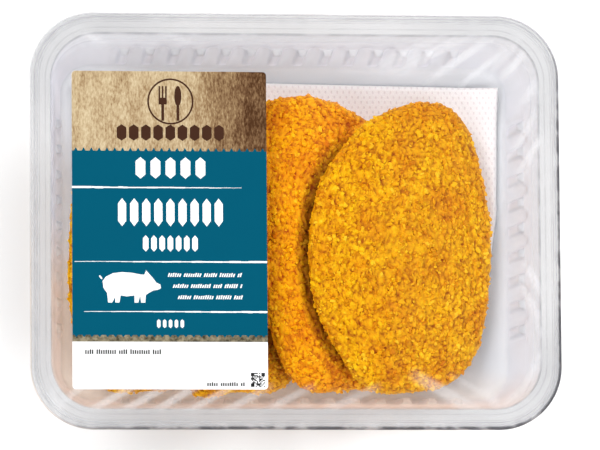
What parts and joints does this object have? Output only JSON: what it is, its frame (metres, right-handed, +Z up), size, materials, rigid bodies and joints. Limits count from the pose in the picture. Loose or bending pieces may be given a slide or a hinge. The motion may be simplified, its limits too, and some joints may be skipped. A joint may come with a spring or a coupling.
{
  "type": "tray of breaded schnitzels",
  "caption": "Sealed clear plastic tray with an overlapping row of breaded schnitzels on an absorbent pad, closed by a clear film lid that carries a paper label.",
  "frame": {"origin": "centre of the tray's footprint, on the surface it stands on", "axes": "+X along the long side, towards the end away from the label; +Y across, towards the top of the label; +Z up"},
  "size_m": [0.227, 0.178, 0.0512],
  "materials": {
    "tray_sheet": "clear, glossy",
    "absorbent_pad": "matte, embossed with small dots",
    "crumb_coating": "rough bread crumbs",
    "lid_film": "clear, glossy",
    "label_paper": "satin printed"
  },
  "bodies": {
    "root": {"tray": "tray_sheet", "pad": "absorbent_pad", "schnitzel_1": "crumb_coating", "schnitzel_2": "crumb_coating", "schnitzel_3": "crumb_coating", "schnitzel_4": "crumb_coating", "film": "lid_film", "label": "label_paper"}
  },
  "joints": []
}
